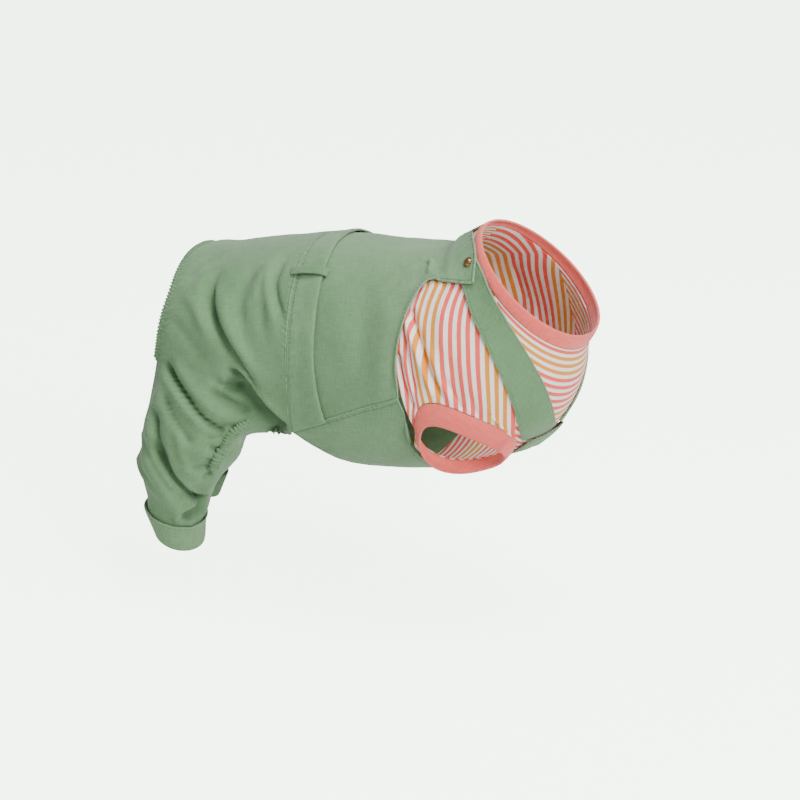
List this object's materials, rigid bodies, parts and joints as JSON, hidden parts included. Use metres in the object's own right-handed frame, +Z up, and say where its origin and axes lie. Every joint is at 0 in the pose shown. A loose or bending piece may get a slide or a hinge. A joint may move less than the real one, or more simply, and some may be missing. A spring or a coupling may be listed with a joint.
{
  "type": "dog jumpsuit",
  "caption": "Small dog's jumpsuit in its worn form: green dungarees with two hind trouser legs over a striped raglan shirt.",
  "frame": {"origin": "inner face of the back on the centre line at the waist, where the garment sits on the wearer's back", "axes": "+X towards the head end, +Y to the wearer's left, +Z up"},
  "size_m": [0.396, 0.1847, 0.2852],
  "materials": {
    "green_cloth": "matt slubby plain weave cotton",
    "striped_knit": "matt knit in white with coral and mustard stripes",
    "coral_rib": "matt rib knit",
    "snap_metal": "dark brass, satin"
  },
  "bodies": {
    "root": {"bodice": "green_cloth", "belly_panel": "green_cloth", "waistband": "green_cloth", "pants": "green_cloth", "cuff_right": "green_cloth", "cuff_left": "green_cloth", "belt_loop_right": "green_cloth", "belt_loop_left": "green_cloth", "strap_right": "green_cloth", "strap_left": "green_cloth", "chest_hem": "green_cloth", "shirt_chest": "striped_knit", "shirt_sleeve_right": "striped_knit", "shirt_sleeve_left": "striped_knit", "shirt_back": "striped_knit", "sleeve_band_right": "coral_rib", "sleeve_band_left": "coral_rib", "neck_band": "coral_rib", "snap_right": "snap_metal", "snap_left": "snap_metal"}
  },
  "joints": []
}
